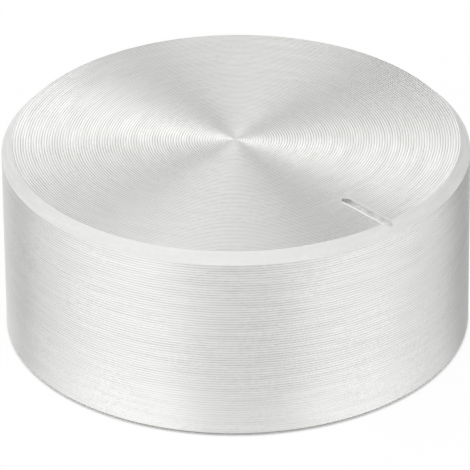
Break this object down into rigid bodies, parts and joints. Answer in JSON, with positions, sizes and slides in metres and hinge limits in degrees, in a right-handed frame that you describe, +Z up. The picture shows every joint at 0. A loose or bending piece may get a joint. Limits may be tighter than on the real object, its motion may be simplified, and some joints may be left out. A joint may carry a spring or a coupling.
{
  "type": "rotary knob",
  "caption": "Low round control knob of turned aluminium with a chamfered rim and a milled pointer groove, held on a plain shaft by a radial set screw.",
  "frame": {"origin": "centre of the underside, on the shaft's axis", "axes": "+Z up the shaft's axis towards the face, -Y towards the pointer groove, +Y towards the set screw"},
  "size_m": [0.046, 0.046, 0.02],
  "materials": {
    "turned_aluminium": "fine turned rings, clear",
    "screw_steel": "black oxide"
  },
  "bodies": {
    "root": {"knob_body": "turned_aluminium", "set_screw": "screw_steel"}
  },
  "joints": []
}
